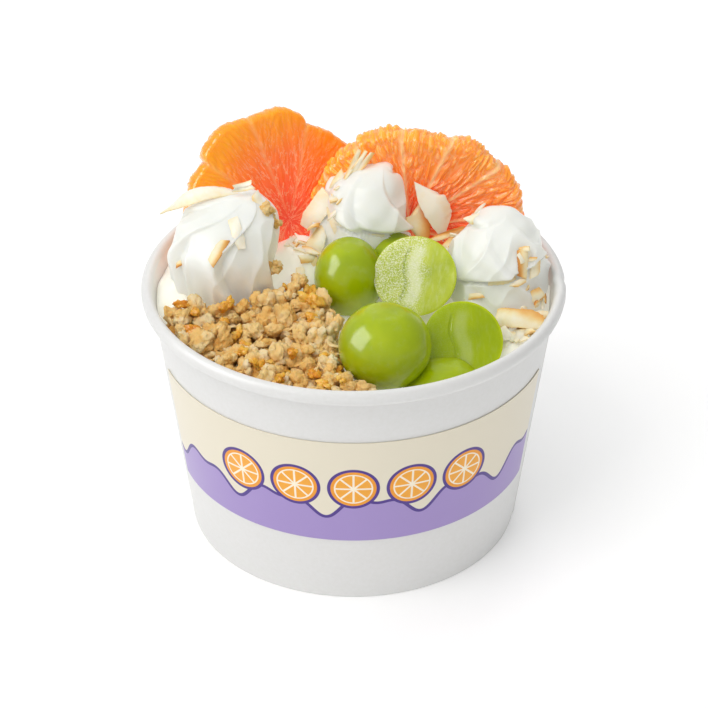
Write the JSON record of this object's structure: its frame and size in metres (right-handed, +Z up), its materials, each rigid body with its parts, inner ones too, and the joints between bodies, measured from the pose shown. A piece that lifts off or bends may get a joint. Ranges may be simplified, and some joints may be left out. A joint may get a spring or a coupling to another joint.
{
  "type": "frozen yogurt cup",
  "caption": "Round paper tub of frozen yogurt with cream swirls, citrus slices, green grapes, granola and coconut chips heaped over its rim.",
  "frame": {"origin": "middle of the foot, on the plane the tub stands on", "axes": "+Z up through the rim, -Y towards the middle of the label"},
  "size_m": [0.115, 0.115, 0.1064],
  "materials": {
    "tub_paper": "satin coated paperboard",
    "label_paper": "satin printed paper, cream above and lavender below",
    "yogurt_food": "smooth moist frozen yogurt",
    "cream_food": "smooth whipped cream",
    "granola_food": "rough toasted oat clusters",
    "grape_food": "glossy grape skin",
    "citrus_food": "wet citrus flesh",
    "coconut_food": "dry toasted coconut"
  },
  "bodies": {
    "root": {"cup_wall": "tub_paper", "cup_base": "tub_paper", "label": "label_paper", "yogurt": "yogurt_food", "swirl_left": "cream_food", "swirl_back": "cream_food", "swirl_right": "cream_food", "granola": "granola_food", "grape_front": "grape_food", "grape_left": "grape_food", "grape_behind": "grape_food", "grape_half_back": "grape_food", "grape_half_right": "grape_food", "grape_under": "grape_food", "citrus_slice_left": "citrus_food", "citrus_slice_right": "citrus_food", "coconut_chip_01": "coconut_food", "coconut_chip_02": "coconut_food", "coconut_chip_03": "coconut_food", "coconut_chip_04": "coconut_food", "coconut_chip_05": "coconut_food", "coconut_chip_06": "coconut_food", "coconut_chip_07": "coconut_food", "coconut_chip_08": "coconut_food", "coconut_chip_09": "coconut_food", "coconut_chip_10": "coconut_food", "coconut_chip_11": "coconut_food", "coconut_chip_12": "coconut_food", "coconut_chip_13": "coconut_food", "coconut_chip_14": "coconut_food", "coconut_chip_15": "coconut_food", "coconut_chip_16": "coconut_food", "coconut_chip_17": "coconut_food", "coconut_chip_18": "coconut_food", "coconut_chip_19": "coconut_food", "coconut_chip_20": "coconut_food", "coconut_chip_21": "coconut_food", "coconut_chip_22": "coconut_food", "coconut_chip_23": "coconut_food", "coconut_chip_24": "coconut_food", "coconut_chip_25": "coconut_food", "coconut_chip_26": "coconut_food"}
  },
  "joints": []
}
